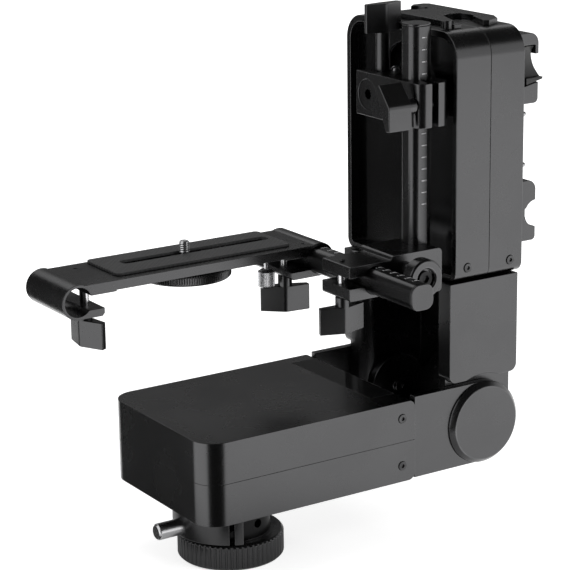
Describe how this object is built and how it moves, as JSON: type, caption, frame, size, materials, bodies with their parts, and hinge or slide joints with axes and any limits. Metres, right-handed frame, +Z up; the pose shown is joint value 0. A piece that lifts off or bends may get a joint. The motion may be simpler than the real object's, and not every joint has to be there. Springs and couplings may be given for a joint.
{
  "type": "remote pan tilt head",
  "caption": "Motorised pan tilt camera head: fluted stand adapter, flat pan base, folding tower, tilting clamp arm with marked rails and a slotted camera plate.",
  "frame": {"origin": "on the pan axis, at the mouth of the stand thread in the adapter wheel's underside", "axes": "+Z up along the pan axis, +X from the pan axis toward the folding tower, +Y across the base away from the marked sides of the rails"},
  "size_m": [0.2986, 0.1587, 0.3201],
  "materials": {
    "black_anodised": "satin black anodised aluminium",
    "gloss_black": "glossy black panel",
    "display_glass": "glossy black display window",
    "silver_steel": "bright turned steel",
    "black_plastic": "matte black moulded plastic",
    "black_rubber": "black textured rubber",
    "yellow_brass": "machined brass",
    "grey_motor": "grey motor can",
    "green_board": "green circuit board",
    "bare_aluminium": "bare machined aluminium"
  },
  "bodies": {
    "adapter": {"adapter_wheel": "black_anodised", "adapter_hub": "black_anodised", "pan_spindle": "silver_steel", "pan_gear": "yellow_brass"},
    "lock_ring": {"lock_ring": "black_anodised", "lock_pin": "silver_steel"},
    "base": {"base_lower_shell": "black_anodised", "base_upper_shell": "black_anodised", "base_frame": "black_anodised", "display_window": "display_glass", "hinge_caps": "black_anodised", "hinge_pins": "silver_steel", "base_screws": "silver_steel", "pan_motor": "grey_motor", "pan_bearing": "silver_steel", "control_board": "green_board"},
    "pan_pinion": {"pan_pinion": "yellow_brass"},
    "tower": {"tower_leg": "black_anodised", "tower_cover_front": "black_anodised", "tower_cover_back": "black_anodised", "tower_panel": "gloss_black", "inner_hinge_disc": "black_anodised", "tower_screws": "silver_steel", "tower_core": "bare_aluminium", "tilt_motor": "grey_motor", "tilt_bearing": "silver_steel", "battery_upper_bracket": "black_anodised", "battery_lower_bracket": "black_anodised", "battery_plate": "black_anodised"},
    "release_lever": {"release_lever": "black_plastic"},
    "contacts": {"contact_pins": "yellow_brass"},
    "top_tool": {"top_tool": "black_anodised"},
    "tilt_pinion": {"tilt_pinion": "yellow_brass"},
    "cradle": {"tilt_shaft": "silver_steel", "tilt_gear": "yellow_brass", "tilt_arm": "black_anodised"},
    "shaft_knob": {"shaft_knob": "black_plastic", "shaft_knob_screw": "silver_steel"},
    "arm_knob": {"arm_knob": "black_plastic", "arm_knob_screw": "silver_steel"},
    "rail": {"vertical_rail": "black_anodised", "rail_cap": "black_plastic", "rail_bracket": "black_anodised"},
    "lock_dial": {"lock_dial": "black_anodised", "dial_screw": "silver_steel"},
    "bracket_knob": {"bracket_knob": "black_plastic", "bracket_knob_screw": "silver_steel"},
    "rod": {"horizontal_rod": "black_anodised", "rod_caps": "black_plastic"},
    "plate": {"camera_plate": "black_anodised", "rubber_pad": "black_rubber"},
    "left_knob": {"left_knob": "black_plastic", "left_knob_screw": "silver_steel"},
    "right_knob": {"right_knob": "black_plastic", "right_knob_screw": "silver_steel"},
    "carriage": {"slot_washer": "black_anodised"},
    "stud": {"camera_stud": "silver_steel", "thumbwheel": "black_anodised"},
    "spare_screw": {"spare_thumbscrew": "silver_steel"}
  },
  "joints": [
    {"name": "lock_ring_turn", "type": "hinge", "parent": "adapter", "child": "lock_ring", "pos_m": [0, 0, 0.03], "axis": [0, 0, 1], "range_deg": [-10, 10]},
    {"name": "pan_spin", "type": "hinge", "parent": "adapter", "child": "base", "pos_m": [0, 0, 0.05], "axis": [0, 0, 1], "continuous": true},
    {"name": "pan_pinion_spin", "type": "hinge", "parent": "base", "child": "pan_pinion", "pos_m": [0.03615, 0, 0.06], "axis": [0, 0, 1], "continuous": true},
    {"name": "tower_fold", "type": "hinge", "parent": "base", "child": "tower", "pos_m": [0.147, 0, 0.0685], "axis": [0, 1, 0], "range_deg": [0, 90]},
    {"name": "release_lever_press", "type": "hinge", "parent": "tower", "child": "release_lever", "pos_m": [0.1845, -0.034, 0.2912], "axis": [0, 1, 0], "range_deg": [0, 5], "stiffness_Nm_per_rad": 0.2},
    {"name": "contact_press", "type": "slide", "parent": "tower", "child": "contacts", "axis": [-1, 0, 0], "range_m": [0, 0.0012], "stiffness_N_per_m": 200},
    {"name": "top_tool_swivel", "type": "hinge", "parent": "tower", "child": "top_tool", "pos_m": [0.1433, 0.004, 0.308], "axis": [0, 0, 1], "range_deg": [-2, 20]},
    {"name": "tilt_pinion_spin", "type": "hinge", "parent": "tower", "child": "tilt_pinion", "pos_m": [0.155, 0, 0.23065], "axis": [1, 0, 0], "continuous": true},
    {"name": "tilt_turn", "type": "hinge", "parent": "tower", "child": "cradle", "pos_m": [0.13, 0, 0.2668], "axis": [1, 0, 0], "range_deg": [-90, 90]},
    {"name": "shaft_knob_turn", "type": "hinge", "parent": "cradle", "child": "shaft_knob", "pos_m": [0.1127, 0, 0.3], "axis": [0, 0, 1], "range_deg": [-35, 35]},
    {"name": "arm_knob_turn", "type": "hinge", "parent": "cradle", "child": "arm_knob", "pos_m": [0.095, -0.0468, 0.2668], "axis": [1, 0, 0], "continuous": true},
    {"name": "rail_slide", "type": "slide", "parent": "cradle", "child": "rail", "axis": [0, 0, 1], "range_m": [-0.01, 0.03]},
    {"name": "lock_dial_turn", "type": "hinge", "parent": "rail", "child": "lock_dial", "pos_m": [0.0901, -0.06, 0.1714], "axis": [0, 1, 0], "continuous": true},
    {"name": "bracket_knob_turn", "type": "hinge", "parent": "rail", "child": "bracket_knob", "pos_m": [0.056, -0.039, 0.15], "axis": [0, 0, 1], "continuous": true},
    {"name": "rod_slide", "type": "slide", "parent": "rail", "child": "rod", "axis": [0, 1, 0], "range_m": [-0.015, 0.04]},
    {"name": "plate_slide", "type": "slide", "parent": "rod", "child": "plate", "axis": [0, 1, 0], "range_m": [-0.01, 0]},
    {"name": "left_knob_turn", "type": "hinge", "parent": "plate", "child": "left_knob", "pos_m": [-0.0805, 0.022, 0.15], "axis": [0, 0, 1], "continuous": true},
    {"name": "right_knob_turn", "type": "hinge", "parent": "plate", "child": "right_knob", "pos_m": [0.0556, 0.022, 0.15], "axis": [0, 0, 1], "continuous": true},
    {"name": "carriage_slide", "type": "slide", "parent": "plate", "child": "carriage", "axis": [1, 0, 0], "range_m": [-0.03, 0.013]},
    {"name": "stud_spin", "type": "hinge", "parent": "carriage", "child": "stud", "pos_m": [-0.0075, 0.033, 0.169], "axis": [0, 0, 1], "continuous": true},
    {"name": "spare_screw_turn", "type": "hinge", "parent": "plate", "child": "spare_screw", "pos_m": [0.0423, 0.022, 0.16], "axis": [0, 0, 1], "continuous": true}
  ],
  "couplings": [
    {"joint": "pan_pinion_spin", "follows": "pan_spin", "ratio": 5},
    {"joint": "tilt_pinion_spin", "follows": "tilt_turn", "ratio": -5}
  ]
}
